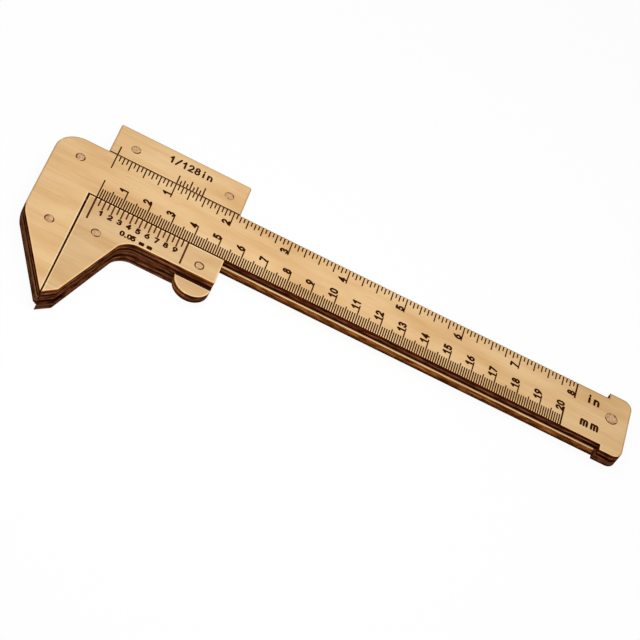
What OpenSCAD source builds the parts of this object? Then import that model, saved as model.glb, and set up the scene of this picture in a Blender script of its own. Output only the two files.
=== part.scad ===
// Laser-cut wooden vernier caliper, laid on its back with its jaws closed.
// Origin: the zero of the millimetre scale, on the plane that the back of the slider rests on.
// +X runs along the scales, +Y towards the inch scale, +Z out of the engraved face.

/* [Sheet and dowels] */
// Thickness of the plywood sheet that every flat piece is cut from
ply_t = 3.4; // [2.6:0.1:5]
// Diameter of the wooden dowels
dowel_d = 4; // [3:0.1:6]
// Diameter of the thicker dowel in the tail stop
tail_dowel_d = 5.5; // [3:0.1:8]

/* [Beam] */
// Width of the engraved front strip
beam_w = 25.4; // [22:0.2:36]
// Length from the scale zero to the tail end
beam_l = 227.5; // [160:0.1:320]
// Width of the guide ledge that the back strip shows along each edge
ledge_w = 1.05; // [1:0.05:2.5]

/* [Head and fixed jaw] */
// Length of the head, from its left end to the measuring face
head_l = 19.6; // [17:0.1:26]
// Radius of the head's outer top corner
head_r = 10; // [4:0.5:14]
// Reach of both jaws below the beam
jaw_reach = 55.6; // [44:0.1:75]
// Slope of the fixed jaw's outer edge, in degrees from the beam
jaw_slope = 61; // [56:0.5:66]
// Radius where the head's end turns into the sloping edge
shoulder_r = 16; // [4:0.5:18]
// Width left flat at the fixed jaw's tip
tip_flat = 0.2; // [0.2:0.1:2]
// How far the back strip stands out beyond the head's outer edges
head_ledge = 0.4; // [0.2:0.05:1]

/* [Tail stop] */
// Length of the tail stop
tail_l = 10.2; // [7:0.1:20]
// How much later the front strip's lower horn starts than the other horns
horn_lead = 0.7; // [0.2:0.1:2]
// How far the tail stop stands out beyond each edge of the front strip
tail_step = 2.8; // [2:0.1:6]
// Radius of the tail stop's outer corners
tail_r = 4; // [1:0.5:6]

/* [Slider] */
// Length of the slider's lower plate along the beam
slider_l = 57.2; // [50:0.1:80]
// Length of the slider's upper plate along the beam
upper_l = 56.8; // [50:0.1:80]
// How far the upper plate starts ahead of the moving jaw's face
upper_lead = 0.6; // [0.2:0.05:1]
// Reach of the lower plate below the beam
lower_reach = 14; // [12:0.1:17]
// Height of the upper plate above the beam, gap included
upper_reach = 16.6; // [13:0.1:26]
// Radius of the slider's outer corners
plate_r = 0.8; // [0.4:0.1:3]
// Distance from the moving jaw's face to the scale zero
zero_inset = 2.95; // [2:0.05:6]

/* [Moving jaw] */
// Width of the moving jaw where it leaves the lower plate
jaw_root_w = 19.9; // [16:0.1:26]
// Width of the moving jaw at the top of its tip chamfer
jaw_tip_w = 5.2; // [3:0.1:9]
// Height of the tip chamfer
tip_chamfer_h = 4.5; // [1:0.1:8]
// How far the moving jaw's tip reaches past the fixed jaw's
tip_drop = 0.4; // [0.2:0.1:1]
// How far the back plate's jaw reaches past the front plate's
back_drop = 0.6; // [0.4:0.1:2]
// How far the back plate's jaw stands out beside its tip
heel_out = 0.7; // [0.2:0.1:1.5]
// How far the tips of the two lower sheets stand back from the fixed jaw
tip_back = 0.4; // [0.1:0.1:1]
// Radius of the web between the moving jaw and the lower plate
web_r = 8; // [2:0.5:12]
// Radius of the half-round thumb tab
tab_r = 7.5; // [5:0.1:9]
// From the lower plate's edge down to the centre of the thumb tab
tab_drop = 0.6; // [0.2:0.1:2]

/* [Dowel places] */
// From the fixed jaw's measuring face to the head dowels
head_dowel_x = 8.9; // [6:0.1:10]
// From the inch edge down to the head's upper dowel and the tail dowel
beam_dowel_y = 10; // [5:0.1:16]
// From the millimetre edge down to the head's lower dowel
head_dowel_drop = 21.3; // [8:0.1:24]
// From the tail end to the tail dowel
tail_dowel_x = 7.5; // [4:0.1:12]
// From the moving jaw's face to the left dowels of the slider
left_dowel_x = 8.6; // [5:0.1:10]
// From the lower plate's right end to the right dowels of the slider
right_dowel_x = 8; // [6:0.1:11]
// From the millimetre edge down to the moving jaw's left dowel
left_dowel_drop = 17.4; // [6:0.1:19]
// From the lower plate's edge up to the right dowel over the thumb tab
right_dowel_y = 5; // [4:0.1:7]
// From the upper plate's top edge down to its two dowels
upper_dowel_y = 9.6; // [4:0.1:10]
// From the upper plate's right end to its right dowel
upper_dowel_x = 7; // [5:0.1:10]

/* [Clearances] */
// Total play of the beam between the slider's front and back plates
slide_play = 0.2; // [0.1:0.05:0.5]
// Gap between the front strip and the lower plate with the moving jaw
front_gap = 0.65; // [0.2:0.05:0.8]
// Gap between the front strip and the upper plate
inch_gap = 0.35; // [0.2:0.05:0.6]
// Gap between a guide ledge and the spacer beside it
guide_gap = 0.3; // [0.15:0.05:0.6]
// Gap left between the closed jaws
jaw_gap = 0.45; // [0.1:0.05:1]

/* [Scales] */
// Width of an engraved line on the beam
line_w = 0.5; // [0.2:0.05:0.6]
// Width of an engraved line on the slider
vernier_line_w = 0.4; // [0.2:0.05:0.6]
// Depth of an engraved line
line_d = 0.3; // [0.1:0.05:0.8]
// Length of a millimetre line
mm_line = 5.2; // [3:0.1:6]
// Length of a five millimetre line
mm5_line = 6.3; // [4:0.1:8]
// Length of a ten millimetre line
mm10_line = 10; // [7:0.1:11]
// Length of a sixteenth inch line
in16_line = 2.8; // [1.5:0.1:4]
// Length of an eighth inch line
in8_line = 3.8; // [2:0.1:5]
// Length of a quarter inch line
in4_line = 5.2; // [3:0.1:6]
// Length of an inch line
in1_line = 8; // [6:0.1:11]
// Length of an unnumbered line on the 0.05 mm vernier
vernier_line = 3.6; // [2:0.1:5]
// Length of a numbered line on the 0.05 mm vernier
vernier_number_line = 4.8; // [3:0.1:7]
// Length of the first and last line of the 0.05 mm vernier
vernier_end_line = 12; // [8:0.1:13]

/* [Hidden] */
$fn = 96;
eps = 0.01;
inch = 25.4;

spacer_t = ply_t + slide_play;
beam_z = ply_t + slide_play / 2;
beam_top = beam_z + 2 * ply_t;
slider_front_z = ply_t + spacer_t;
slider_top = slider_front_z + ply_t;

moving_face = -zero_inset;
fixed_face = moving_face - jaw_gap;
head_end = fixed_face - head_l;
shoulder_y = (head_l - tip_flat) * tan(jaw_slope) - jaw_reach;
tail_start = beam_l - tail_l;

slider_end = moving_face + slider_l;
upper_start = moving_face - upper_lead;
slider_bottom = -lower_reach;
slider_height = beam_w + upper_reach;
jaw_tip = [moving_face, -jaw_reach - tip_drop];
jaw_heel = jaw_tip + [jaw_tip_w, tip_chamfer_h];
jaw_root = [moving_face + jaw_root_w, slider_bottom];
jaw_edge = (jaw_heel - jaw_root) / norm(jaw_heel - jaw_root);
web_half = acos(jaw_edge.x) / 2;
web_run = web_r / tan(web_half);
web_on_jaw = jaw_root + web_run * jaw_edge;
web_on_plate = jaw_root + [web_run, 0];
web_centre = web_on_plate - [0, web_r];

dowel_row = beam_w - beam_dowel_y;
upper_row = slider_height - upper_dowel_y;
left_column = moving_face + left_dowel_x;
right_column = slider_end - right_dowel_x;
head_upper_at = [fixed_face - head_dowel_x, dowel_row];
head_lower_at = [fixed_face - head_dowel_x, -head_dowel_drop];
tail_at = [beam_l - tail_dowel_x, dowel_row];
jaw_left_at = [left_column, -left_dowel_drop];
jaw_right_at = [right_column, slider_bottom + right_dowel_y];
upper_left_at = [left_column, upper_row];
upper_right_at = [upper_start + upper_l - upper_dowel_x, upper_row];
head_dowels = [head_upper_at, head_lower_at];
jaw_dowels = [jaw_left_at, jaw_right_at];
upper_dowels = [upper_left_at, upper_right_at];

// The scales end at the last whole centimetre and inch that leave room for the tail stop.
scale_margin = 13;
mm_count = 10 * floor((tail_start - scale_margin) / 10);
inch_count = floor((tail_start - scale_margin) / inch);
vernier_count = 20;
vernier_step = 39 / vernier_count;
inch_vernier_count = 8;
inch_vernier_step = 7 / 16 * inch / inch_vernier_count;
inch_vernier_long = 4.7;
inch_vernier_mid = 3.4;
inch_vernier_short = 2.4;

// The sliver between an outer corner and the arc of radius r that rounds it off. The edges leave
// the corner in the directions a and b.
module corner_sliver(corner, a, b, r) {
    half = abs(b - a) / 2;
    run = r / tan(half);
    centre = [r / sin(half), 0];
    translate(corner) rotate((a + b) / 2) difference() {
        polygon([[0, 0], run * [cos(half), sin(half)], centre, run * [cos(half), -sin(half)]]);
        translate(centre) circle(r);
    }
}

module dowel_holes(places, d = dowel_d) {
    for (place = places)
        translate([place.x, place.y, -eps]) cylinder(d = d, h = slider_top + 2 * eps);
}

module dowel(place, z, length, d = dowel_d) {
    color("wheat") translate([place.x, place.y, z]) cylinder(d = d, h = length);
}

// Head with the fixed jaw, beam and tail stop, as one outline. It grows by a ledge along the beam
// and by another round the head, and the lower horn of the tail stop can start later.
module beam_outline(ledge, head_out, lead) {
    left = head_end - head_out;
    difference() {
        union() {
            polygon([[left, beam_w], [left, shoulder_y], [fixed_face - tip_flat - head_out, -jaw_reach],
                [fixed_face, -jaw_reach], [fixed_face, beam_w]]);
            translate([fixed_face, -ledge]) square([beam_l - fixed_face - tail_r, beam_w + 2 * ledge]);
            translate([tail_start, 0]) square([tail_l, beam_w + tail_step]);
            translate([tail_start + lead, -tail_step]) square([tail_l - lead, beam_w]);
        }
        corner_sliver([left, beam_w], -90, 0, head_r);
        corner_sliver([left, shoulder_y], -jaw_slope, 90, shoulder_r);
        corner_sliver([beam_l, -tail_step], 90, 180, tail_r);
        corner_sliver([beam_l, beam_w + tail_step], 180, 270, tail_r);
    }
}

// Lower plate of the slider with the moving jaw, which can reach further by drop, with its tip and
// the heel beside it set over. The web beside the jaw's root is filled up to the centre of its arc,
// and the arc's circle is then taken out.
module jaw_outline(top, drop = 0, tip_over = [0, 0], heel_over = [0, 0]) {
    down = [0, -drop];
    out = [drop * jaw_edge.x / jaw_edge.y, 0];
    difference() {
        polygon([[moving_face, top], jaw_tip + down + tip_over, jaw_heel + down + heel_over,
            web_on_jaw + out, web_centre + out, web_on_plate + out, [slider_end, slider_bottom],
            [slider_end, top]]);
        translate(web_centre + out) circle(web_r);
        corner_sliver([slider_end, slider_bottom], 90, 180, plate_r);
    }
}

module upper_outline(bottom) {
    difference() {
        translate([upper_start, bottom]) square([upper_l, slider_height - bottom]);
        corner_sliver([upper_start, slider_height], -90, 0, plate_r);
        corner_sliver([upper_start + upper_l, slider_height], 180, 270, plate_r);
    }
}

// One engraved line at x. It starts on the edge at y and runs up, or down if length is negative.
module engraved_line(x, y, length, top, w = line_w) {
    translate([x - w / 2, min(y, y + length) - eps, top - line_d])
        cube([w, abs(length) + 2 * eps, line_d + eps]);
}

module mm_scale() {
    for (i = [0:mm_count])
        engraved_line(i, 0, i % 10 == 0 ? mm10_line : i % 5 == 0 ? mm5_line : mm_line, beam_top);
}

module inch_scale() {
    for (i = [0:16 * inch_count])
        engraved_line(i * inch / 16, beam_w, i % 16 == 0 ? -in1_line : i % 4 == 0 ? -in4_line
            : i % 2 == 0 ? -in8_line : -in16_line, beam_top);
}

module mm_vernier() {
    for (i = [0:vernier_count])
        engraved_line(i * vernier_step, -front_gap, i % vernier_count == 0 ? -vernier_end_line
            : i % 2 == 0 ? -vernier_number_line : -vernier_line, slider_top, vernier_line_w);
}

module inch_vernier() {
    edge = beam_w + inch_gap;
    engraved_line(0, edge, inch_vernier_long, slider_top, vernier_line_w);
    for (i = [0:inch_vernier_count])
        engraved_line(inch + i * inch_vernier_step, edge, i % 4 == 0 ? inch_vernier_long
            : i % 2 == 0 ? inch_vernier_mid : inch_vernier_short, slider_top, vernier_line_w);
}

module beam_front() {
    color("burlywood") difference() {
        translate([0, 0, beam_z + ply_t]) linear_extrude(ply_t) beam_outline(0, 0, horn_lead);
        dowel_holes(head_dowels);
        dowel_holes([tail_at], tail_dowel_d);
        mm_scale();
        inch_scale();
    }
}

module beam_back() {
    color("tan") difference() {
        translate([0, 0, beam_z]) linear_extrude(ply_t) beam_outline(ledge_w, head_ledge, 0);
        dowel_holes(head_dowels);
        dowel_holes([tail_at], tail_dowel_d);
    }
}

module jaw_front() {
    color("burlywood") difference() {
        translate([0, 0, slider_front_z]) linear_extrude(ply_t) jaw_outline(-front_gap);
        dowel_holes(jaw_dowels);
        mm_vernier();
    }
}

module inch_plate() {
    color("burlywood") difference() {
        translate([0, 0, slider_front_z]) linear_extrude(ply_t) upper_outline(beam_w + inch_gap);
        dowel_holes(upper_dowels);
        inch_vernier();
    }
}

module jaw_middle() {
    color("tan") difference() {
        translate([0, 0, ply_t]) linear_extrude(spacer_t) {
            jaw_outline(-ledge_w - guide_gap, 0, tip_back * [1, tip_chamfer_h / jaw_tip_w]);
            translate([slider_end - tab_r, slider_bottom - tab_drop]) circle(tab_r);
            translate([slider_end - 2 * tab_r, slider_bottom - tab_drop]) square([2 * tab_r, tab_r]);
        }
        dowel_holes(jaw_dowels);
    }
}

module upper_spacer() {
    color("tan") difference() {
        translate([0, 0, ply_t]) linear_extrude(spacer_t) upper_outline(beam_w + ledge_w + guide_gap);
        dowel_holes(upper_dowels);
    }
}

// The back plate also reaches under the fixed jaw and closes the gap between the jaws from behind.
module slider_back() {
    color("peru") difference() {
        linear_extrude(ply_t) {
            jaw_outline(beam_w, back_drop, [tip_back, 0], [heel_out, 0]);
            upper_outline(0);
            polygon([[moving_face, beam_w], [fixed_face, beam_w], [fixed_face, jaw_heel.y],
                [moving_face + tip_back, jaw_heel.y]]);
        }
        dowel_holes(concat(jaw_dowels, upper_dowels));
    }
}

beam_front();
beam_back();
dowel(head_upper_at, beam_z, 2 * ply_t);  // head_dowel_upper
dowel(head_lower_at, beam_z, 2 * ply_t);  // head_dowel_lower
dowel(tail_at, beam_z, 2 * ply_t, tail_dowel_d);  // tail_dowel
jaw_front();
inch_plate();
jaw_middle();
upper_spacer();
slider_back();
dowel(jaw_left_at, 0, slider_top);  // jaw_dowel_left
dowel(jaw_right_at, 0, slider_top);  // jaw_dowel_right
dowel(upper_left_at, 0, slider_top);  // upper_dowel_left
dowel(upper_right_at, 0, slider_top);  // upper_dowel_right
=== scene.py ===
from math import atan2, cos, degrees, pi, radians, sin, tan

import bmesh
import bpy
from mathutils import Matrix, Vector


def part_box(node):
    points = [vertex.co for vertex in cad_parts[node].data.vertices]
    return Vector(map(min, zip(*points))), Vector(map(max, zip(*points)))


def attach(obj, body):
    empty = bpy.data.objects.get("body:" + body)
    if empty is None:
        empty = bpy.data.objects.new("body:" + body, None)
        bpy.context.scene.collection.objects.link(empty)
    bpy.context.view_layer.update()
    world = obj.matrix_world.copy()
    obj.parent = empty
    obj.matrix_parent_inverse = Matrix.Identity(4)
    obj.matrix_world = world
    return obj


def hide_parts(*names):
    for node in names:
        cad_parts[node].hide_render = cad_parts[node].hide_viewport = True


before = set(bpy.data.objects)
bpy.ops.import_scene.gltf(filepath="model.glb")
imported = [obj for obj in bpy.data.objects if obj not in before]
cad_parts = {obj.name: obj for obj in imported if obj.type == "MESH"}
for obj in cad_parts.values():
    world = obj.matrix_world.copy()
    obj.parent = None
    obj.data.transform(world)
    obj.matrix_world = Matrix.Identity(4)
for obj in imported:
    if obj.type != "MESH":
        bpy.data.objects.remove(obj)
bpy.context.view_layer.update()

mm = 0.001
samePlace = 0.01 * mm    # points nearer than this count as one
print("frame loaded:", len(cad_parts), "CAD nodes")


# A CAD node's lowest and highest corner in millimetres.
def boxOf(node):
    low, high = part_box(node)
    return low / mm, high / mm


beamLow, beamHigh = boxOf("beam_front")
sheetThickness = beamHigh.z - beamLow.z


def hexColour(code):
    channels = [int(code[i:i + 2], 16) / 255 for i in (1, 3, 5)]
    return [c / 12.92 if c <= 0.04045 else ((c + 0.055) / 1.055) ** 2.4 for c in channels] + [1.0]


# Adds a node with its settings and links. The setting "stops" fills a colour ramp.
def addNode(tree, kind, settings=None, links=None):
    node = tree.nodes.new(kind)
    for key, value in (settings or {}).items():
        if key == "stops":
            band = node.color_ramp
            while len(band.elements) < len(value):
                band.elements.new(0.5)
            for element, (position, code) in zip(band.elements, value):
                element.position = position
                element.color = hexColour(code)
        elif isinstance(key, str) and hasattr(node, key):
            setattr(node, key, value)
        else:
            node.inputs[key].default_value = value
    for key, source in (links or {}).items():
        tree.links.new(source, node.inputs[key])
    return node


def newMaterial(name):
    material = bpy.data.materials.new(name)
    material.use_nodes = True
    tree = material.node_tree
    return material, tree, tree.nodes["Principled BSDF"]


# Where a pattern is read: the sheet's own place, x and y along it and z up from its underside,
# over the pattern's size in mm. A size of 0 keeps the pattern the same along that axis.
def sheetPlace(tree, sizes, shift=(0, 0, 0)):
    place = addNode(tree, "ShaderNodeAttribute", {"attribute_name": "sheetPlace"})
    stretch = [1 / size if size else 0 for size in sizes]
    return addNode(tree, "ShaderNodeMapping", {"Scale": stretch, "Location": shift},
                   {"Vector": place.outputs["Vector"]}).outputs["Vector"]


# Birch plywood face, rotary cut and sanded: pale tan, faint grain lines along the sheet, a few
# short flecks, and hardly any sheen. The shade lightens or darkens it along rims and ledges.
def makeSandedBirch(name, shade, sheen=0.25):
    look = {
        "cloud": (46, 11, 0),     # mm, the length and width of one patch of tone
        "cloudTones": [(0.30, "#D9AC74"), (0.50, "#E6BD87"), (0.72, "#EFCB98")],
        "grain": (30, 0.9, 0),    # mm, drawn coarser than real grain so that its lines show
        "grainTone": "#BE8650",
        "grainShare": {"From Min": 0.52, "From Max": 0.78, "To Max": 0.38},
        "grainDepth": 0.03,       # mm
        "fleck": (5, 0.8, 0),     # mm
        "fleckTone": "#B57F4C",
        "fleckShare": {"From Min": 0.68, "From Max": 0.78, "To Max": 0.35},
        "roughness": 0.62,
    }
    material, tree, shader = newMaterial(name)
    cloud = addNode(tree, "ShaderNodeTexNoise", {"Scale": 1.0, "Detail": 3.0, "Roughness": 0.55},
                    {"Vector": sheetPlace(tree, look["cloud"])})
    tone = addNode(tree, "ShaderNodeValToRGB", {"stops": look["cloudTones"]}, {"Fac": cloud.outputs["Fac"]})
    grain = addNode(tree, "ShaderNodeTexNoise",
                    {"Scale": 1.0, "Detail": 4.0, "Roughness": 0.6, "Distortion": 0.4},
                    {"Vector": sheetPlace(tree, look["grain"], (3, 7, 0))})
    grainShare = addNode(tree, "ShaderNodeMapRange", look["grainShare"], {"Value": grain.outputs["Fac"]})
    lined = addNode(tree, "ShaderNodeMix", {"data_type": "RGBA", 7: hexColour(look["grainTone"])},
                    {0: grainShare.outputs[0], 6: tone.outputs["Color"]})
    fleck = addNode(tree, "ShaderNodeTexNoise", {"Scale": 1.0, "Detail": 1.0},
                    {"Vector": sheetPlace(tree, look["fleck"], (11, 2, 0))})
    fleckShare = addNode(tree, "ShaderNodeMapRange", look["fleckShare"], {"Value": fleck.outputs["Fac"]})
    flecked = addNode(tree, "ShaderNodeMix", {"data_type": "RGBA", 7: hexColour(look["fleckTone"])},
                      {0: fleckShare.outputs[0], 6: lined.outputs[2]})
    shaded = addNode(tree, "ShaderNodeMix", {"data_type": "RGBA", "blend_type": "MULTIPLY", 0: 1.0, 7: shade},
                     {6: flecked.outputs[2]})
    bump = addNode(tree, "ShaderNodeBump", {"Strength": 0.25, "Distance": look["grainDepth"] * mm},
                   {"Height": grain.outputs["Fac"]})
    tree.links.new(shaded.outputs[2], shader.inputs["Base Color"])
    tree.links.new(bump.outputs["Normal"], shader.inputs["Normal"])
    shader.inputs["Roughness"].default_value = look["roughness"]
    shader.inputs["Specular IOR Level"].default_value = sheen
    return material


# Laser-cut plywood edge, scorched by the beam: three plies, their glue lines nearly black and the
# core a lighter red brown, all drawn into fine streaks along the sheet, and quite matt.
def makeScorchedEdge(name, plies):
    look = {
        "wobble": (6, 6, 4),        # mm
        "wobbleReach": {"To Min": -0.28, "To Max": 0.28},    # mm, how far the ply lines wander
        "streak": (8, 8, 0.28),     # mm
        "streakShare": {"From Min": 0.38, "From Max": 0.58},
        "streakTones": [(0.0, "#54423A"), (1.0, "#FFFFFF")],
        "streakDepth": 0.06,        # mm
        "patch": (4, 4, 1.2),       # mm
        "patchTones": [(0.35, "#A08C80"), (0.60, "#FFFFFF")],
        "roughness": 0.9,
    }
    material, tree, shader = newMaterial(name)
    place = addNode(tree, "ShaderNodeAttribute", {"attribute_name": "sheetPlace"})
    height = addNode(tree, "ShaderNodeSeparateXYZ", links={0: place.outputs["Vector"]})
    wobble = addNode(tree, "ShaderNodeTexNoise", {"Scale": 1.0, "Detail": 2.0},
                     {"Vector": sheetPlace(tree, look["wobble"])})
    drift = addNode(tree, "ShaderNodeMapRange", look["wobbleReach"], {"Value": wobble.outputs["Fac"]})
    level = addNode(tree, "ShaderNodeMath", {"operation": "ADD"},
                    {0: height.outputs["Z"], 1: drift.outputs[0]})
    share = addNode(tree, "ShaderNodeMath", {"operation": "DIVIDE", 1: sheetThickness}, {0: level.outputs[0]})
    layered = addNode(tree, "ShaderNodeValToRGB", {"stops": plies}, {"Fac": share.outputs[0]})
    streak = addNode(tree, "ShaderNodeTexNoise", {"Scale": 1.0, "Detail": 4.0, "Roughness": 0.65},
                     {"Vector": sheetPlace(tree, look["streak"], (5, 1, 3))})
    dark = addNode(tree, "ShaderNodeMapRange", look["streakShare"], {"Value": streak.outputs["Fac"]})
    streakTone = addNode(tree, "ShaderNodeValToRGB", {"stops": look["streakTones"]}, {"Fac": dark.outputs[0]})
    streaked = addNode(tree, "ShaderNodeMix", {"data_type": "RGBA", "blend_type": "MULTIPLY", 0: 1.0},
                       {6: layered.outputs["Color"], 7: streakTone.outputs["Color"]})
    patch = addNode(tree, "ShaderNodeTexNoise", {"Scale": 1.0, "Detail": 2.0},
                    {"Vector": sheetPlace(tree, look["patch"], (2, 9, 4))})
    patchTone = addNode(tree, "ShaderNodeValToRGB", {"stops": look["patchTones"]},
                        {"Fac": patch.outputs["Fac"]})
    patchy = addNode(tree, "ShaderNodeMix", {"data_type": "RGBA", "blend_type": "MULTIPLY", 0: 1.0},
                     {6: streaked.outputs[2], 7: patchTone.outputs["Color"]})
    bump = addNode(tree, "ShaderNodeBump", {"Strength": 0.5, "Distance": look["streakDepth"] * mm},
                   {"Height": streak.outputs["Fac"]})
    tree.links.new(patchy.outputs[2], shader.inputs["Base Color"])
    tree.links.new(bump.outputs["Normal"], shader.inputs["Normal"])
    shader.inputs["Roughness"].default_value = look["roughness"]
    shader.inputs["Specular IOR Level"].default_value = 0.0
    return material


# Laser engraving in birch: a matt brown char, a little uneven in tone.
def makeEngravedChar(name, tones):
    look = {"patch": (0.8, 0.8, 0.8), "roughness": 0.9}    # the patch in mm
    material, tree, shader = newMaterial(name)
    soot = addNode(tree, "ShaderNodeTexNoise", {"Scale": 1.0, "Detail": 2.0},
                   {"Vector": sheetPlace(tree, look["patch"])})
    tone = addNode(tree, "ShaderNodeValToRGB", {"stops": tones}, {"Fac": soot.outputs["Fac"]})
    tree.links.new(tone.outputs["Color"], shader.inputs["Base Color"])
    shader.inputs["Roughness"].default_value = look["roughness"]
    shader.inputs["Specular IOR Level"].default_value = 0.0
    return material


# Beech dowel cut across the grain and sanded flush: pale pinkish wood with blotchy pores. Its rim is
# the same wood stained brown by the scorched hole. The pores are drawn coarser than real ones.
def makeDowelEndGrain(name, tones):
    look = {
        "blotch": (0.9, 0.9, 10),    # mm
        "pore": (0.22, 0.22, 10),    # mm
        "poreShare": {"From Min": 0.0, "From Max": 0.45, "To Min": 0.45, "To Max": 0.0},
        "roughness": 0.75,
    }
    material, tree, shader = newMaterial(name)
    blotch = addNode(tree, "ShaderNodeTexNoise", {"Scale": 1.0, "Detail": 3.0, "Roughness": 0.6},
                     {"Vector": sheetPlace(tree, look["blotch"])})
    tone = addNode(tree, "ShaderNodeValToRGB", {"stops": tones}, {"Fac": blotch.outputs["Fac"]})
    pore = addNode(tree, "ShaderNodeTexVoronoi", {"Scale": 1.0}, {"Vector": sheetPlace(tree, look["pore"])})
    poreShare = addNode(tree, "ShaderNodeMapRange", look["poreShare"], {"Value": pore.outputs["Distance"]})
    porous = addNode(tree, "ShaderNodeMix", {"data_type": "RGBA", 7: hexColour(tones[0][1])},
                     {0: poreShare.outputs[0], 6: tone.outputs["Color"]})
    tree.links.new(porous.outputs[2], shader.inputs["Base Color"])
    shader.inputs["Roughness"].default_value = look["roughness"]
    shader.inputs["Specular IOR Level"].default_value = 0.2
    return material


# Each layer's scorched edge as tones from its underside (0) to its top (1). The near-black bottom of the
# front and guide strips is partly painted shadow along their foot, and the back plate's lighter underside is
# painted light thrown up from the floor.
frontPlies = [(0.00, "#2B0700"), (0.17, "#3F1102"), (0.32, "#743A21"), (0.50, "#A06241"),
              (0.62, "#784228"), (0.76, "#521E09"), (0.92, "#6A2A0B"), (1.00, "#823F15")]
guidePlies = [(0.00, "#401806"), (0.12, "#5C2A0E"), (0.22, "#7C3F19"), (0.33, "#8D4417"),
              (0.48, "#C2773F"), (0.64, "#C17A3D"), (0.80, "#B06824"), (0.92, "#C5813A"), (1.00, "#D59851")]
platePlies = [(0.00, "#401608"), (0.09, "#3C1206"), (0.19, "#5E2B14"), (0.38, "#AE6F4A"),
              (0.50, "#AB6A44"), (0.68, "#6C2808"), (0.78, "#85401A"), (0.88, "#B06A30"), (1.00, "#D08C48")]
spacerPlies = [(0.00, "#572710"), (0.14, "#4C1E08"), (0.28, "#6C371E"), (0.46, "#A36946"),
               (0.66, "#763D1B"), (0.85, "#935E41"), (1.00, "#70422A")]
backPlies = [(0.00, "#A17158"), (0.22, "#99664B"), (0.40, "#66321D"), (0.50, "#5C2611"),
             (0.60, "#864E32"), (0.74, "#AF7651"), (0.88, "#8F5836"), (1.00, "#743E22")]
frontEdge = makeScorchedEdge("scorchedEdgeOfFrontStrip", frontPlies)
guideEdge = makeScorchedEdge("scorchedEdgeOfGuideStrip", guidePlies)
plateEdge = makeScorchedEdge("scorchedEdgeOfSliderFront", platePlies)
spacerEdge = makeScorchedEdge("scorchedEdgeOfSliderSpacers", spacerPlies)
backEdge = makeScorchedEdge("scorchedEdgeOfSliderBack", backPlies)

sandedBirch = makeSandedBirch("sandedBirchVeneer", [1.0, 1.0, 1.0, 1.0])
jawBirch = makeSandedBirch("sandedBirchVeneerOfJawPlate", [0.88, 0.88, 0.89, 1.0])    # a little darker
paleRim = makeSandedBirch("birchVeneerRubbedPaleAtItsEdge", [1.15, 1.15, 1.12, 1.0])    # a light line
brightRim = makeSandedBirch("birchVeneerSandedBrightAtItsEdge", [1.15, 1.30, 1.50, 1.0])    # nearly white
toastedRim = makeSandedBirch("birchVeneerToastedAtItsEdge", [0.74, 0.72, 0.68, 1.0])    # a soft brown line
# The next three are painted shade: a dark rim beside the gaps between parts, a dull brown on ledges at the
# foot of walls and round the head, and black where the plate shades the tab and on the tail stop.
gapShadeRim = makeSandedBirch("birchVeneerPaintedShadeBesideGap", [0.36, 0.20, 0.08, 1.0], 0.0)    # dark red brown
ledgeShadeBirch = makeSandedBirch("birchVeneerPaintedShadeOnLedges", [0.42, 0.29, 0.20, 1.0], 0.0)    # dull brown
deepShadeBlack = makeSandedBirch("birchVeneerPaintedDeepShade", [0.05, 0.02, 0.01, 1.0], 0.0)
engravedChar = makeEngravedChar("laserEngravedChar", [(0.30, "#220900"), (0.70, "#502206")])
paleChar = makeEngravedChar("laserLinesBurntLightly", [(0.30, "#3C1A06"), (0.70, "#6E4018")])
dowelEndGrain = makeDowelEndGrain("beechDowelEndGrain",
                                  [(0.32, "#A87C54"), (0.50, "#D0A67C"), (0.68, "#E4C39A")])
dowelRimPale = makeDowelEndGrain("beechDowelRim",
                                 [(0.32, "#9A6A3E"), (0.50, "#C29262"), (0.68, "#DDB482")])
dowelRimDark = makeDowelEndGrain("beechDowelRimStained",
                                 [(0.32, "#481E08"), (0.50, "#6E3812"), (0.68, "#925A2C")])
print("materials made")


def deselectAll():
    bpy.ops.object.select_all(action="DESELECT")


def pick(piece, kind, test):
    bpy.ops.mesh.select_mode(type=kind)
    bpy.ops.mesh.select_all(action="DESELECT")
    mesh = bmesh.from_edit_mesh(piece.data)
    parts = {"VERT": mesh.verts, "EDGE": mesh.edges, "FACE": mesh.faces}[kind]
    for part in parts:
        if test(part):
            part.select_set(True)
    mesh.select_flush_mode()
    bmesh.update_edit_mesh(piece.data)


# Draws a line in edit mode by extruding one vertex from point to point.
def traceLine(name, points):
    deselectAll()
    bpy.ops.mesh.primitive_plane_add(size=mm, location=(0, 0, 0))
    line = bpy.context.object
    line.name = name
    bpy.ops.object.mode_set(mode="EDIT")
    bpy.ops.mesh.select_mode(type="VERT")
    bpy.ops.mesh.select_all(action="SELECT")
    bpy.ops.mesh.merge(type="CENTER")
    bpy.ops.transform.translate(value=points[0])
    for here, there in zip(points, points[1:]):
        bpy.ops.mesh.extrude_vertices_move(TRANSFORM_OT_translate={"value": there - here})
    return line


# Gives a material to the faces that pass the test, which takes a face and its middle in mm.
def paint(piece, material, test):
    slots = [slot.material for slot in piece.material_slots]
    if material not in slots:
        piece.data.materials.append(material)
        slots.append(material)
    pick(piece, "FACE", lambda face: test(face, face.calc_center_median() / mm))
    piece.active_material_index = slots.index(material)
    bpy.ops.object.material_slot_assign()


# Cuts a sheet's faces along an upright plane across the axis "x" or "y", in edit mode.
def scribe(axis, place):
    across = Vector((axis == "x", axis == "y", 0))
    bpy.ops.mesh.select_all(action="SELECT")
    bpy.ops.mesh.bisect(plane_co=across * place * mm, plane_no=across)


def facesUp(face):
    return face.normal.z > 0.99


def isSide(face):
    return abs(face.normal.z) < 0.9


def isLevel(edge):
    return abs(edge.verts[0].co.z - edge.verts[1].co.z) < samePlace


def nowhere(at):
    return False
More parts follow.
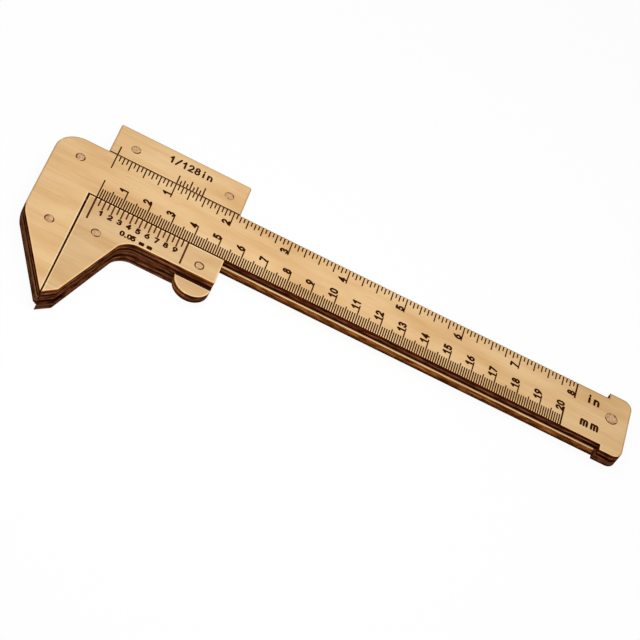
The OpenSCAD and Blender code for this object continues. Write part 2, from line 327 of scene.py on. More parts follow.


# A sheet cut from the outline, as thick as its CAD node. Each corner is x, y and the radius that rounds it.
# The laser scorches the side and the fine arris. Two rims may run round the upper face: they are rubbed pale
# or toasted, bright beside a gap, and the outer one dark there with painted shade.
cut = {
    "leastSteps": 4, "stepsPerMm": 2,    # of a rounded corner
    "mergeCorners": 0.002, "arris": 0.06, "rims": (0.16, 0.34), "mergeRims": 0.3,    # mm
    "largestRim": 100,    # mm2
}


def cutSheet(name, node, corners, edgeMaterial, birch=sandedBirch, rims=True,
             toasted=nowhere, bright=nowhere, gapShaded=nowhere):
    low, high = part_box(node)
    points = [Vector((x * mm, y * mm, low.z)) for x, y, radius in corners]
    sheet = traceLine(name, points)
    bpy.ops.mesh.select_all(action="SELECT")
    bpy.ops.mesh.edge_face_add()
    for i, (x, y, radius) in enumerate(corners):
        if radius:
            before, corner, after = points[i - 1], points[i], points[(i + 1) % len(points)]
            halfAngle = (before - corner).angle(after - corner) / 2
            steps = max(cut["leastSteps"], int(radius * cut["stepsPerMm"]))
            pick(sheet, "VERT", lambda vertex: (vertex.co - corner).length < samePlace)
            bpy.ops.mesh.bevel(offset_type="OFFSET", offset=radius * mm / tan(halfAngle), segments=steps,
                               affect="VERTICES", clamp_overlap=False)
    bpy.ops.mesh.select_all(action="SELECT")
    bpy.ops.mesh.remove_doubles(threshold=cut["mergeCorners"] * mm)
    bpy.ops.mesh.extrude_region_move(TRANSFORM_OT_translate={"value": (0, 0, high.z - low.z)})
    bpy.ops.mesh.select_all(action="SELECT")
    bpy.ops.mesh.normals_make_consistent(inside=False)
    pick(sheet, "EDGE", isLevel)
    bpy.ops.mesh.bevel(offset_type="OFFSET", offset=cut["arris"] * mm, segments=1, affect="EDGES")
    sheet.data.materials.append(birch)
    paint(sheet, edgeMaterial, lambda face, at: isSide(face))
    if rims:
        pick(sheet, "FACE", facesUp)
        for width in cut["rims"]:
            bpy.ops.mesh.inset(thickness=width * mm, depth=0)
            bpy.ops.mesh.remove_doubles(threshold=cut["mergeRims"] * mm)

        def onRim(face):
            return facesUp(face) and face.calc_area() < cut["largestRim"] * mm * mm

        def onOuterRim(face):
            return onRim(face) and any(isSide(other) for edge in face.edges for other in edge.link_faces)

        paint(sheet, paleRim, lambda face, at: onRim(face) and not toasted(at))
        paint(sheet, toastedRim, lambda face, at: onRim(face) and toasted(at))
        paint(sheet, brightRim, lambda face, at: onRim(face) and bright(at))
        paint(sheet, gapShadeRim, lambda face, at: onOuterRim(face) and gapShaded(at))
    bpy.ops.object.mode_set(mode="OBJECT")
    return sheet


def carve(sheet, cutter):
    deselectAll()
    sheet.select_set(True)
    bpy.context.view_layer.objects.active = sheet
    bpy.ops.object.modifier_add(type="BOOLEAN")
    groove = sheet.modifiers[-1]
    groove.operation = "DIFFERENCE"
    groove.solver = "EXACT"
    groove.material_mode = "TRANSFER"
    groove.object = cutter
    bpy.ops.object.modifier_apply(modifier=groove.name)
    bpy.data.objects.remove(cutter)


def joinAll(pieces):
    deselectAll()
    for piece in pieces:
        piece.select_set(True)
    bpy.context.view_layer.objects.active = pieces[0]
    bpy.ops.object.join()
    return bpy.context.object


# Dowels are shorter than their holes by sunk at each end, thinner by ring all round, and off centre by
# lean. The holes are wider by play all round, so a dark line shows round each dowel. Their drill
# reaches past both faces by drillOut. Sizes in mm.
dowel = {
    "facets": 48, "ring": 0.02, "sunk": 0.04, "lean": 0.02, "arris": 0.06, "rim": 0.44, "rimDish": 0.02,
    "play": 0.03, "drillOut": 1,
}


# A dowel's x, y and radius, rounded to 0.01 mm because the CAD mesh's circles are a little lopsided.
def dowelPlace(node):
    low, high = boxOf(node)
    middle = (low + high) / 2
    return round(middle.x, 2), round(middle.y, 2), round((high.x - low.x) / 2, 2)


def drillHoles(sheet, node, dowelNodes):
    low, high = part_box(node)
    drills = []
    for dowelNode in dowelNodes:
        x, y, radius = dowelPlace(dowelNode)
        deselectAll()
        bpy.ops.mesh.primitive_cylinder_add(vertices=dowel["facets"], radius=(radius + dowel["play"]) * mm,
                                            depth=high.z - low.z + 2 * dowel["drillOut"] * mm,
                                            location=(x * mm, y * mm, (low.z + high.z) / 2))
        bpy.context.object.data.materials.append(frontEdge)
        drills.append(bpy.context.object)
    carve(sheet, joinAll(drills))


# Lines are (x, start y, length, width) in mm, and a negative length runs down. Each starts a little
# outside the sheet, so that the groove is open at the edge.
lineCut = {"depth": 0.3, "overrun": 0.5}    # mm


def engraveLines(sheet, node, lines, char):
    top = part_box(node)[1].z
    deselectAll()
    bpy.ops.mesh.primitive_cube_add(size=mm, location=(0, 0, 1))    # emptied again in edit mode
    cutter = bpy.context.object
    cutter.data.materials.append(char)
    bpy.ops.object.mode_set(mode="EDIT")
    bpy.ops.mesh.delete(type="VERT")
    for x, start, length, width in lines:
        overrun = -lineCut["overrun"] if length > 0 else lineCut["overrun"]
        span = length - overrun
        bpy.ops.mesh.primitive_cube_add(size=1, location=(x * mm, (start + overrun + span / 2) * mm, top),
                                        scale=(width * mm, abs(span) * mm, 2 * lineCut["depth"] * mm))
    bpy.ops.object.mode_set(mode="OBJECT")
    carve(sheet, cutter)


bowStep = 24    # degrees


def bow(centreX, centreY, radiusX, radiusY, fromAngle, toAngle):
    steps = max(3, int(abs(toAngle - fromAngle) / bowStep))
    angles = [radians(fromAngle + (toAngle - fromAngle) * i / steps) for i in range(steps + 1)]
    return [(centreX + radiusX * cos(a), centreY + radiusY * sin(a)) for a in angles]


# Stroke lettering: one pen stroke per list, in a cell one wide and one high. M stands for the small
# unit's m, which is so small that the laser burnt it nearly full.
penStrokes = {
    "0": [bow(0.5, 0.66, 0.5, 0.34, 0, 180) + bow(0.5, 0.34, 0.5, 0.34, 180, 360) + [(1.0, 0.66)]],
    "1": [[(0.12, 0.70), (0.60, 1.0), (0.60, 0.0)]],
    "2": [bow(0.5, 0.70, 0.46, 0.30, 165, -35) + [(0.02, 0.0), (1.0, 0.0)]],
    "3": [bow(0.46, 0.76, 0.46, 0.24, 150, -90), bow(0.46, 0.26, 0.50, 0.26, 90, -150)],
    "4": [[(0.74, 0.0), (0.74, 1.0), (0.0, 0.30), (1.0, 0.30)]],
    "5": [[(0.92, 1.0), (0.16, 1.0), (0.08, 0.52)] + bow(0.46, 0.32, 0.52, 0.32, 125, -145)],
    "6": [[(0.80, 1.0), (0.30, 0.74), (0.03, 0.42)], bow(0.5, 0.31, 0.5, 0.31, 160, 520)],
    "7": [[(0.0, 1.0), (0.98, 1.0), (0.36, 0.0)]],
    "8": [bow(0.5, 0.76, 0.40, 0.24, -90, 270), bow(0.5, 0.27, 0.5, 0.27, 90, 450)],
    "9": [[(0.20, 0.0), (0.70, 0.26), (0.97, 0.58)], bow(0.5, 0.69, 0.5, 0.31, -20, 340)],
    ".": [[(0.40, 0.0), (0.60, 0.0)]],
    "/": [[(0.0, -0.04), (1.0, 1.04)]],
    "i": [[(0.5, 0.0), (0.5, 0.62)], [(0.5, 0.92), (0.5, 1.0)]],
    "n": [[(0.06, 0.0), (0.06, 0.66)], [(0.06, 0.44)] + bow(0.5, 0.34, 0.44, 0.32, 150, 0) + [(0.94, 0.0)]],
    "m": [[(0.0, 0.0), (0.0, 0.66)], [(0.0, 0.50)] + bow(0.25, 0.50, 0.25, 0.16, 150, 0) + [(0.5, 0.0)],
          [(0.5, 0.50)] + bow(0.75, 0.50, 0.25, 0.16, 150, 0) + [(1.0, 0.0)]],
    "M": [[(0.0, 0.0), (0.0, 0.40)], [(0.5, 0.0), (0.5, 0.40)], [(1.0, 0.0), (1.0, 0.40)],
          [(0.0, 0.40), (1.0, 0.40)]],
}
letterAdvance = {".": 0.92}             # share of the pitch, 1 for all others
sharpTurn = radians(40)
penEnd = [(0.7, 0.71), (1.0, 0.2)]      # places past a stroke's end and the thickness there, in pen radii


# A stroke falls into parts where it turns sharply.
def smoothParts(points):
    parts = [[points[0]]]
    for before, here, after in zip(points, points[1:], points[2:]):
        parts[-1].append(here)
        if (here - before).angle(after - here) > sharpTurn:
            parts.append([here])
    parts[-1].append(points[-1])
    return parts


# One part of a stroke as a solid round tube: a closed ring, or open with both ends rounded off.
def penTube(points, pen):
    reach = pen / 2 * mm
    shares = [1.0] * len(points)
    if (points[0] - points[-1]).length > samePlace:
        first = (points[0] - points[1]).normalized() * reach
        last = (points[-1] - points[-2]).normalized() * reach
        start = [points[0] + first * out for out, share in reversed(penEnd)]
        end = [points[-1] + last * out for out, share in penEnd]
        points = start + points + end
        shares = [share for out, share in reversed(penEnd)] + shares + [share for out, share in penEnd]
    traceLine("penStroke", points)
    bpy.ops.mesh.select_all(action="SELECT")
    bpy.ops.mesh.remove_doubles(threshold=samePlace)
    bpy.ops.object.mode_set(mode="OBJECT")
    bpy.ops.object.convert(target="CURVE")
    tube = bpy.context.object
    for point, share in zip(tube.data.splines[0].points, shares):
        point.radius = share
    tube.data.bevel_depth = reach
    tube.data.bevel_resolution = 1
    tube.data.use_fill_caps = True
    bpy.ops.object.convert(target="MESH")
    return tube


letterStock = {}    # each letter's tubes, made once for a style and then copied


# A lettering style gives a letter's width and height and the pen's width, all in mm, the pitch from
# letter to letter, and how far the pen's middle is lifted off the face.
def penLetter(letter, style):
    key = (letter, *style.values())
    width, height, pen = style["width"] - style["pen"], style["height"] - style["pen"], style["pen"]
    if key not in letterStock:
        tubes = []
        for stroke in penStrokes[letter]:
            points = [Vector(((x - 0.5) * width * mm, (y * height + pen / 2) * mm, 0)) for x, y in stroke]
            tubes += [penTube(part, pen) for part in smoothParts(points)]
        letterStock[key] = tubes
    return letterStock[key]


# Words are (text, x, y of the first letter's foot, turned), and a turned word reads towards +Y.
# The first tubes of all letters are carved together, then the second ones, and touching letters in
# turns, so no cutter crosses itself.
def engraveWords(sheet, node, words, style):
    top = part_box(node)[1].z + style["lift"] * mm
    rounds = {}
    for text, x, y, turned in words:
        step = 0
        for i, letter in enumerate(text):
            if i:
                advances = letterAdvance.get(letter, 1) + letterAdvance.get(text[i - 1], 1)
                step += style["pitch"] * advances / 2
            foot = Vector((x, y + step, 0)) if turned else Vector((x + step, y, 0))
            place = Matrix.Translation((foot.x * mm, foot.y * mm, top))
            if turned:
                place = place @ Matrix.Rotation(pi / 2, 4, "Z")
            for turn, tube in enumerate(penLetter(letter, style)):
                copy = tube.copy()
                copy.data = tube.data.copy()
                bpy.context.collection.objects.link(copy)
                copy.data.transform(place)
                touching = i % 2 if style["pitch"] < style["width"] else 0
                rounds.setdefault((turn, touching), []).append(copy)
    for copies in rounds.values():
        cutter = joinAll(copies)
        cutter.data.materials.clear()
        cutter.data.materials.append(engravedChar)
        carve(sheet, cutter)


smoothBelow = radians(28)


# The grain shift in mm gives each sheet its own stretch of the grain pattern.
def finishPiece(piece, node, body, grainShift):
    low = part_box(node)[0].z
    deselectAll()
    piece.select_set(True)
    bpy.context.view_layer.objects.active = piece
    bpy.ops.object.shade_smooth_by_angle(angle=smoothBelow)
    place = piece.data.attributes.new("sheetPlace", "FLOAT_VECTOR", "POINT")
    for spot, vertex in zip(place.data, piece.data.vertices):
        at = (vertex.co - Vector((0, 0, low))) / mm
        spot.vector = (at.x + grainShift[0], at.y + grainShift[1], at.z)
    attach(piece, body)
    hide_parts(node)
    print("made", piece.name, len(piece.data.polygons), "faces")


# Fixed body: both layers share this outline, in mm, and its outer sizes come from the CAD nodes.
beam = {
    "width": 25.4, "tailStart": 217.3, "tailRound": 4, "headRound": 10, "headStep": -14,
    "shoulder": -20.6, "shoulderRound": 16, "fixedFace": -3.4, "tipFlat": 0.2, "tipHeight": 2,
    "dowels": ["head_dowel_upper", "head_dowel_lower", "tail_dowel"],
}


def beamCorners(layer):
    face, tail, top, ledge = beam["fixedFace"], beam["tailStart"], beam["width"], layer["ledge"]
    head, tip, horn = beamLow.x, beamLow.y - layer["tipOut"], tail + layer["hornLead"]
    tailStep = beamHigh.y - top
    corners = [
        (head + layer["headIn"], top, beam["headRound"]),
        (head + layer["headIn"], beam["headStep"], 0),
        (head - layer["headOut"], beam["shoulder"], beam["shoulderRound"]),
        (face - beam["tipFlat"] - layer["headOut"], tip, 0),
        (face + layer["tipOut"], tip, 0),
        (face, beamLow.y + beam["tipHeight"], 0),
        (face - layer["gapLead"], -ledge, 0),
        (horn, -ledge, 0),
        (horn, -tailStep, 0),
        (beamHigh.x, -tailStep, beam["tailRound"]),
        (beamHigh.x, beamHigh.y, beam["tailRound"]),
        (tail, beamHigh.y, 0),
        (tail, top + ledge, 0),
    ]
    if ledge:
        corners += [(face, top + ledge, 0), (face, top, 0)]
    return corners


def stopsSlider(face, at):
    return face.normal.x < -0.5 and at.x > 0


# Front strip: its face is toasted along the outer edges, pale along the inner ones, bright beside the gap
# between the jaws, and dark with painted shade along the gap where the slider lies beside it.
front = {
    "ledge": 0, "headIn": 0, "headOut": 0, "tipOut": 0, "hornLead": 0.7, "gapLead": 0.12,
    "toastedTop": 20, "toastedLeft": -22, "toastedRight": 226, "brightWidth": 0.8,
    "shadeTo": 54.3, "shadeWidth": 0.25,
}
frontStrip = cutSheet("frontStrip", "beam_front", beamCorners(front), frontEdge,
                      toasted=lambda at: at.y > front["toastedTop"] or at.x < front["toastedLeft"]
                      or at.x > front["toastedRight"],
                      bright=lambda at: at.y < 0 and abs(at.x - beam["fixedFace"]) < front["brightWidth"])
bpy.ops.object.mode_set(mode="EDIT")
scribe("x", front["shadeTo"])
paint(frontStrip, gapShadeRim,
      lambda face, at: facesUp(face) and 0 < at.y < front["shadeWidth"] and at.x < front["shadeTo"])
# Painted shade: the faces of the tail stop, which face the slider, are painted black.
paint(frontStrip, deepShadeBlack, stopsSlider)
bpy.ops.object.mode_set(mode="OBJECT")
drillHoles(frontStrip, "beam_front", beam["dowels"])

# The beam's scales in mm. The last mark of each is burnt a little wider.
scales = {
    "width": 0.54, "lastWidth": 0.72, "mmCount": 200, "inchCount": 8,
    "mm": 5.2, "mm5": 6.3, "mm10": 10,
    "in16": 2.8, "in8": 3.8, "in4": 5.2, "in1": 8, "inLast": 8.6,
}
inch = 25.4
mmLines = [(i, 0, scales["mm10" if i % 10 == 0 else "mm5" if i % 5 == 0 else "mm"], scales["width"])
           for i in range(scales["mmCount"])]
inchLines = [(i * inch / 16, beam["width"],
              -scales["in1" if i % 16 == 0 else "in4" if i % 4 == 0 else "in8" if i % 2 == 0 else "in16"],
              scales["width"]) for i in range(16 * scales["inchCount"])]
lastLines = [(scales["mmCount"], 0, scales["mm10"], scales["lastWidth"]),
             (inch * scales["inchCount"], beam["width"], -scales["inLast"], scales["lastWidth"])]
engraveLines(frontStrip, "beam_front", mmLines + inchLines + lastLines, engravedChar)

# Words and numbers on the beam, with the height or the place of each one's foot.
beamWords = {
    "number": {"width": 2.6, "height": 3.8, "pen": 1.04, "pitch": 2.6, "lift": 0.08},
    "inchUnit": {"width": 3.05, "height": 4.8, "pen": 1.12, "pitch": 3.2, "lift": 0.08},
    "mmUnit": {"width": 3.7, "height": 5.1, "pen": 1.12, "pitch": 4.6, "lift": 0.08},
    "oneDigitFoot": 9.4, "twoDigitFoot": 8.45, "numberShift": 0.1, "inchNumberFoot": 18.75,
    "inchUnitFoot": (209.4, 17.8), "mmUnitFoot": (209.4, 4.9),
}
mmNumbers = [(str(k), 10 * k + beamWords["numberShift"],
              beamWords["oneDigitFoot" if k < 10 else "twoDigitFoot"], True)
             for k in range(1, scales["mmCount"] // 10 + 1)]
inchNumbers = [(str(k), inch * k, beamWords["inchNumberFoot"], True)
               for k in range(1, scales["inchCount"] + 1)]
engraveWords(frontStrip, "beam_front", mmNumbers + inchNumbers, beamWords["number"])
engraveWords(frontStrip, "beam_front", [("in", *beamWords["inchUnitFoot"], False)], beamWords["inchUnit"])
engraveWords(frontStrip, "beam_front", [("mm", *beamWords["mmUnitFoot"], False)], beamWords["mmUnit"])
finishPiece(frontStrip, "beam_front", "beam", (40, 12))

# Guide strip: only its ledge along the beam is bright. Painted shade darkens it round the head, beside the
# front strip and beside the tail stop. Its tip reaches a little past the front strip's.
guide = {
    "ledge": 1.05, "headIn": 0.15, "headOut": 0.4, "tipOut": 0.6, "hornLead": 0, "gapLead": 0,
    "shadeWidth": 0.4, "shadePastFace": 0.65, "shadeBeforeTail": 0.6,
}
headPart = beam["fixedFace"] + guide["shadePastFace"]
tailPart = beam["tailStart"] - guide["shadeBeforeTail"]
guideStrip = cutSheet("guideStrip", "beam_back", beamCorners(guide), guideEdge, rims=False)
bpy.ops.object.mode_set(mode="EDIT")
scribe("x", headPart)
scribe("x", tailPart)
scribe("y", -guide["shadeWidth"])
paint(guideStrip, brightRim, lambda face, at: facesUp(face))
paint(guideStrip, ledgeShadeBirch,
      lambda face, at: facesUp(face) and (at.x < headPart or at.y > -guide["shadeWidth"]))
# Painted light and shade: the sides round the head and the whole horn, with its ledge, take the spacers' edge
# tones, set to how light falls on them there.
paint(guideStrip, spacerEdge, lambda face, at: isSide(face) and at.x < headPart)
paint(guideStrip, spacerEdge, lambda face, at: face.normal.z > -0.9 and at.x > tailPart)
# Painted shade: the tail stop's faces are painted black.
paint(guideStrip, deepShadeBlack, stopsSlider)
bpy.ops.object.mode_set(mode="OBJECT")
drillHoles(guideStrip, "beam_back", beam["dowels"])
finishPiece(guideStrip, "beam_back", "beam", (140, 47))

# Slider: the jaw's layers share this outline, in mm, and its outer sizes come from the CAD nodes.
slider = {
    "bottom": -14.0, "cornerRound": 0.8, "heel": (2.25, -51.5), "root": 16.95, "webRound": 8,
    "tabRound": 7.5, "tabDrop": 0.6, "tabFlat": 0.01,
    "jawDowels": ["jaw_dowel_left", "jaw_dowel_right"],
    "upperDowels": ["upper_dowel_left", "upper_dowel_right"],
}
jawLow, jawHigh = boxOf("jaw_front")
inchLow, inchHigh = boxOf("inch_plate")


def jawCorners(top, withTab=False, drop=0, tipOver=(0, 0), heelOver=0, gapLead=0):
    face, end, bottom, heel = jawLow.x, jawHigh.x, slider["bottom"], slider["heel"]
    rootOver = drop * (slider["root"] - heel[0]) / (bottom - heel[1])
    corners = [
        (face + gapLead, top, 0),
        (face + tipOver[0], jawLow.y - drop + tipOver[1], 0),
        (heel[0] + heelOver, heel[1] - drop, 0),
        (slider["root"] + rootOver, bottom, slider["webRound"]),
    ]
    if withTab:
        left, foot = end - 2 * slider["tabRound"], bottom - slider["tabDrop"] - slider["tabRound"]
        radius = slider["tabRound"] - slider["tabFlat"]
        corners += [(left, bottom, 0), (left, foot, radius), (end, foot, radius)]
    else:
        corners += [(end, bottom, slider["cornerRound"])]
    return corners + [(end, top, 0)]


def upperCorners(bottom):
    start, end, top, corner = inchLow.x, inchHigh.x, inchHigh.y, slider["cornerRound"]
    return [(start, bottom, 0), (end, bottom, 0), (end, top, corner), (start, top, corner)]


# Jaw plate: a little darker than the rest, bright along the jaw's face and the scale, with a dark line of
# painted shade beside the gap at the face, which leans back a little towards the scale.
jaw = {"gapLead": front["gapLead"], "brightWidth": 0.75, "shadeWidth": 0.35}    # mm
jawPlate = cutSheet("jawPlate", "jaw_front", jawCorners(jawHigh.y, gapLead=jaw["gapLead"]), plateEdge,
                    jawBirch, bright=lambda at: at.x < jawLow.x + jaw["brightWidth"]
                    or at.y > jawHigh.y - jaw["brightWidth"],
                    gapShaded=lambda at: at.x < jawLow.x + jaw["shadeWidth"])
drillHoles(jawPlate, "jaw_front", slider["jawDowels"])

# The millimetre vernier: twenty parts on 39 mm.
vernier = {
    "parts": 20, "pitch": 1.95, "width": 0.62, "endWidth": 0.78,
    "line": 3.6, "numberLine": 4.8, "endLine": 12,
    "number": {"width": 2.25, "height": 3.0, "pen": 0.86, "pitch": 2.0, "lift": 0.06},
    "precision": {"width": 2.1, "height": 2.9, "pen": 0.84, "pitch": 1.6, "lift": 0.06},
    "unit": {"width": 2.3, "height": 3.1, "pen": 1.04, "pitch": 3.3, "lift": 0.06},
    "numberShift": 0.2, "numberFoot": -8.6, "precisionFoot": (14.6, -13.1), "unitFoot": (22.9, -13.2),
}
vernierLines = [(vernier["pitch"] * i, jawHigh.y, -vernier["numberLine" if i % 2 == 0 else "line"],
                 vernier["width"]) for i in range(1, vernier["parts"])]
vernierLines += [(vernier["pitch"] * i, jawHigh.y, -vernier["endLine"], vernier["endWidth"])
                 for i in (0, vernier["parts"])]
engraveLines(jawPlate, "jaw_front", vernierLines, paleChar)
vernierNumbers = [(str(k), 2 * vernier["pitch"] * k + vernier["numberShift"], vernier["numberFoot"], False)
                  for k in range(1, vernier["parts"] // 2)]
engraveWords(jawPlate, "jaw_front", vernierNumbers, vernier["number"])
engraveWords(jawPlate, "jaw_front", [("0.05", *vernier["precisionFoot"], False)], vernier["precision"])
engraveWords(jawPlate, "jaw_front", [("MM", *vernier["unitFoot"], False)], vernier["unit"])
finishPiece(jawPlate, "jaw_front", "slider", (310, 83))

# Inch plate: toasted all round but for its lower edge, which is bright with a dark line of painted shade
# beside the gap over the beam. Its vernier has eight parts of 7/128 in, and its zero mark stands apart at the
# left.
inchVernier = {
    "parts": 8, "pitch": inch * 7 / 128, "width": 0.62, "long": 4.7, "mid": 3.4, "short": 2.4,
    "fraction": {"width": 2.65, "height": 4.2, "pen": 0.92, "pitch": 2.75, "lift": 0.08},
    "fractionFoot": (20.0, 34.7), "brightWidth": 0.75,
}


def besideInchScale(at):
    return at.y < inchLow.y + inchVernier["brightWidth"]


inchPlate = cutSheet("inchPlate", "inch_plate", upperCorners(inchLow.y), plateEdge,
                     toasted=lambda at: not besideInchScale(at), bright=besideInchScale,
                     gapShaded=besideInchScale)
drillHoles(inchPlate, "inch_plate", slider["upperDowels"])
inchVernierLines = [(0, inchLow.y, inchVernier["long"], inchVernier["width"])]
inchVernierLines += [(inch + inchVernier["pitch"] * i, inchLow.y,
                      inchVernier["long" if i % 4 == 0 else "mid" if i % 2 == 0 else "short"],
                      inchVernier["width"]) for i in range(inchVernier["parts"] + 1)]
engraveLines(inchPlate, "inch_plate", inchVernierLines, paleChar)
engraveWords(inchPlate, "inch_plate", [("1/128in", *inchVernier["fractionFoot"], False)],
             inchVernier["fraction"])
finishPiece(inchPlate, "inch_plate", "slider", (420, 131))

# Jaw spacer: only its thumb tab shows. The tab is rimmed bright, with a black painted shadow and a bright
# line beside the plate over it, and a thin chip is out of the left half of its edge. The jaw's tip lies back
# a little.
spacer = {
    "tipBack": 0.4, "jawTo": 30, "shadeTo": -15.3, "brightLine": 0.4, "largestRim": 10,
    "tabFrom": 38, "chipTo": 45.6, "chip": 0.2, "chipBelow": -15, "sideBelow": -14.2,
}
spacerHigh = boxOf("jaw_middle")[1]
brightFrom = spacer["shadeTo"] - spacer["brightLine"]
tipSlope = (slider["heel"][1] - jawLow.y) / (slider["heel"][0] - jawLow.x)
tipOver = (spacer["tipBack"], spacer["tipBack"] * tipSlope)
jawSpacer = cutSheet("jawSpacer", "jaw_middle", jawCorners(spacerHigh.y, True, tipOver=tipOver), spacerEdge,
                     jawBirch)


def onChip(at, below):
    return at.y < below and spacer["tabFrom"] < at.x < spacer["chipTo"]


def onChipEdge(edge):
    ends = [vertex.co / mm for vertex in edge.verts]
    onTop = all(end.z > spacerHigh.z - samePlace / mm for end in ends)
    besideSide = any(isSide(face) for face in edge.link_faces)
    return onTop and besideSide and all(onChip(end, spacer["chipBelow"]) for end in ends)


bpy.ops.object.mode_set(mode="EDIT")
scribe("y", spacer["shadeTo"])
scribe("y", brightFrom)
paint(jawSpacer, brightRim, lambda face, at: facesUp(face) and (
    face.calc_area() < spacer["largestRim"] * mm * mm or at.y > brightFrom))
# Painted shadow: black where the plate over the tab shades it, and on the jaw, which lies in shade under the
# plate.
paint(jawSpacer, deepShadeBlack,
      lambda face, at: facesUp(face) and (at.y > spacer["shadeTo"] or at.x < spacer["jawTo"]))
pick(jawSpacer, "EDGE", onChipEdge)
bpy.ops.mesh.bevel(offset_type="OFFSET", offset=spacer["chip"] * mm, segments=1, affect="EDGES")
paint(jawSpacer, guideEdge, lambda face, at: face.normal.z < 0.1 and onChip(at, spacer["sideBelow"]))
paint(jawSpacer, brightRim, lambda face, at: 0.1 < face.normal.z < 0.95 and onChip(at, spacer["chipBelow"]))
bpy.ops.object.mode_set(mode="OBJECT")
drillHoles(jawSpacer, "jaw_middle", slider["jawDowels"])
finishPiece(jawSpacer, "jaw_middle", "slider", (510, 177))

upperSpacer = cutSheet("upperSpacer", "upper_spacer", upperCorners(boxOf("upper_spacer")[0].y), spacerEdge,
                       rims=False)
drillHoles(upperSpacer, "upper_spacer", slider["upperDowels"])
finishPiece(upperSpacer, "upper_spacer", "slider", (620, 213))

# The back plate reaches under the fixed jaw, a dark sheet put where the gap between the jaws shows only
# shade, so that the gap is dark from the front. Only narrow ledges of its upper side can be seen, painted
# with its dark edge tones as painted shade.
back = {"tipBack": spacer["tipBack"], "heelOut": 0.7, "underJawTo": -53.6}    # mm
backDrop = jawLow.y - boxOf("slider_back")[0].y
backCorners = [(beam["fixedFace"], 0, 0), (beam["fixedFace"], back["underJawTo"], 0),
               (jawLow.x + back["tipBack"], back["underJawTo"], 0)]
backCorners += jawCorners(beam["width"], drop=backDrop, tipOver=(back["tipBack"], 0),
                          heelOver=back["heelOut"])[1:]
backCorners += upperCorners(beam["width"])[1:] + [(inchLow.x, 0, 0)]
backPlate = cutSheet("backPlate", "slider_back", backCorners, backEdge, rims=False)
bpy.ops.object.mode_set(mode="EDIT")
paint(backPlate, backEdge, lambda face, at: facesUp(face))
bpy.ops.object.mode_set(mode="OBJECT")
drillHoles(backPlate, "slider_back", slider["jawDowels"] + slider["upperDowels"])
finishPiece(backPlate, "slider_back", "slider", (730, 269))


# The lean is a share of the dowels' full lean, along x and y. Soot from the hole stains the rim
# unevenly, most over the arcs given in degrees from +X.
def turnDowel(name, node, body, lean, stains):
    x, y, radius = dowelPlace(node)
    low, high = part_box(node)
    reach = radius - dowel["ring"] - dowel["rim"]
    deselectAll()
    bpy.ops.mesh.primitive_cylinder_add(vertices=dowel["facets"], radius=(radius - dowel["ring"]) * mm,
                                        depth=high.z - low.z - 2 * dowel["sunk"] * mm)
    pin = bpy.context.object
    pin.name = name
    pin.data.materials.append(dowelEndGrain)
    bpy.ops.object.mode_set(mode="EDIT")
    pick(pin, "EDGE", isLevel)
    bpy.ops.mesh.bevel(offset_type="OFFSET", offset=dowel["arris"] * mm, segments=2, affect="EDGES")
    pick(pin, "FACE", lambda face: abs(face.normal.z) > 0.99)
    bpy.ops.mesh.inset(thickness=dowel["rim"] * mm, depth=dowel["rimDish"] * mm, use_individual=True)

    def stained(face, at):
        angle = degrees(atan2(at.y, at.x)) % 360
        return at.xy.length > reach and any((angle - start) % 360 < end - start for start, end in stains)

    paint(pin, dowelRimPale, lambda face, at: at.xy.length > reach)
    paint(pin, dowelRimDark, stained)
    bpy.ops.mesh.select_all(action="SELECT")
    bpy.ops.transform.translate(value=((x + lean[0] * dowel["lean"]) * mm, (y + lean[1] * dowel["lean"]) * mm,
                                       (low.z + high.z) / 2))
    bpy.ops.object.mode_set(mode="OBJECT")
    finishPiece(pin, node, body, (x * 3, y * 5))


turnDowel("headDowelUpper", "head_dowel_upper", "beam", (0.6, 0.6), [(-75, 25), (150, 235)])
turnDowel("headDowelLower", "head_dowel_lower", "beam", (-0.2, 0.4), [(110, 215), (-40, 40)])
turnDowel("tailDowel", "tail_dowel", "beam", (0.4, 0.2),
          [(185, 222), (235, 265), (272, 305), (312, 335), (40, 75)])
turnDowel("jawDowelLeft", "jaw_dowel_left", "slider", (0.2, -0.6), [(75, 225), (265, 340)])
turnDowel("jawDowelRight", "jaw_dowel_right", "slider", (0.0, 0.4), [(-100, 250)])
turnDowel("upperDowelLeft", "upper_dowel_left", "slider", (0.5, 0.2), [(245, 360)])
turnDowel("upperDowelRight", "upper_dowel_right", "slider", (-0.4, 0.6), [(5, 55)])

for tubes in letterStock.values():
    for spare in tubes:
        bpy.data.objects.remove(spare)

# White paper floor: matt, with the object's faint shadow, and seen nearly as bright as the backdrop.
studio = {
    "floorSize": 6, "floorMiddle": (0.1, 0, 0),    # m
    "floorRoughness": 0.9, "floorGlow": 0.95, "roomLight": 0.36,
}
deselectAll()
bpy.ops.mesh.primitive_plane_add(size=studio["floorSize"], location=studio["floorMiddle"])
floor = bpy.context.object
floor.name = "paleFloor"
material, tree, shader = newMaterial("whitePaperFloor")
shader.inputs["Base Color"].default_value = hexColour("#FFFFFF")
shader.inputs["Roughness"].default_value = studio["floorRoughness"]
shader.inputs["Specular IOR Level"].default_value = 0.0
paths = addNode(tree, "ShaderNodeLightPath")
glow = addNode(tree, "ShaderNodeEmission", {"Strength": 1.0})
share = addNode(tree, "ShaderNodeMath", {"operation": "MULTIPLY", 1: studio["floorGlow"]},
                {0: paths.outputs["Is Camera Ray"]})
blendGlow = addNode(tree, "ShaderNodeMixShader",
                    links={0: share.outputs[0], 1: shader.outputs[0], 2: glow.outputs[0]})
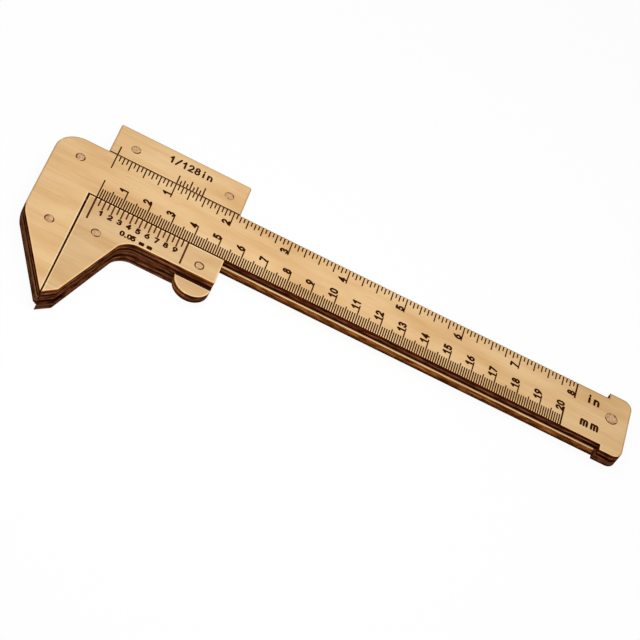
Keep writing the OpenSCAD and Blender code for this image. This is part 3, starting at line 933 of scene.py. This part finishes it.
tree.links.new(blendGlow.outputs[0], tree.nodes["Material Output"].inputs["Surface"])
floor.data.materials.append(material)

# White room: it lights the object softly, and only the camera sees it at full white.
world = bpy.data.worlds.new("softWhiteRoom")
bpy.context.scene.world = world
world.use_nodes = True
tree = world.node_tree
room = tree.nodes["Background"]
room.inputs["Color"].default_value = hexColour("#FFFFFF")
paths = addNode(tree, "ShaderNodeLightPath")
seen = addNode(tree, "ShaderNodeMath", {"operation": "MAXIMUM"},
               {0: paths.outputs["Is Camera Ray"], 1: paths.outputs["Is Transmission Ray"]})
strength = addNode(tree, "ShaderNodeMapRange", {"To Min": studio["roomLight"], "To Max": 1.0},
                   {"Value": seen.outputs[0]})
tree.links.new(strength.outputs[0], room.inputs["Strength"])

# One soft lamp above the lower edge, in metres and watts.
lamp = {"place": (0.072, -0.055, 0.30), "aim": (0.072, 0.0, 0.0), "energy": 0.737, "size": 0.28}
deselectAll()
bpy.ops.object.light_add(type="AREA", location=lamp["place"])
key = bpy.context.object
key.name = "softKey"
key.data.shape = "DISK"
key.data.size = lamp["size"]
key.data.energy = lamp["energy"]
key.rotation_euler = (Vector(lamp["aim"]) - key.location).to_track_quat("-Z", "Y").to_euler()

# The camera's place and turn were fitted to the scale lines that the photograph shows. It sees what
# lies between near and far.
view = {
    "place": (2.3, -625.1, 644.8), "lens": 130.77, "sensor": 36, "near": 10, "far": 20000,    # mm
    "right": (0.89235, 0.24929, 0.37625), "up": (-0.43865, 0.67532, 0.59290),
}
bpy.ops.object.camera_add()
camera = bpy.context.object
right, up = Vector(view["right"]).normalized(), Vector(view["up"]).normalized()
turn = Matrix((right, up, right.cross(up))).transposed().to_4x4()
camera.matrix_world = Matrix.Translation(Vector(view["place"]) * mm) @ turn
camera.data.lens = view["lens"]
camera.data.sensor_width = view["sensor"]
camera.data.clip_start = view["near"] * mm
camera.data.clip_end = view["far"] * mm
bpy.context.scene.camera = camera
bpy.context.scene.view_settings.view_transform = "Standard"
print("floor, light and camera set")
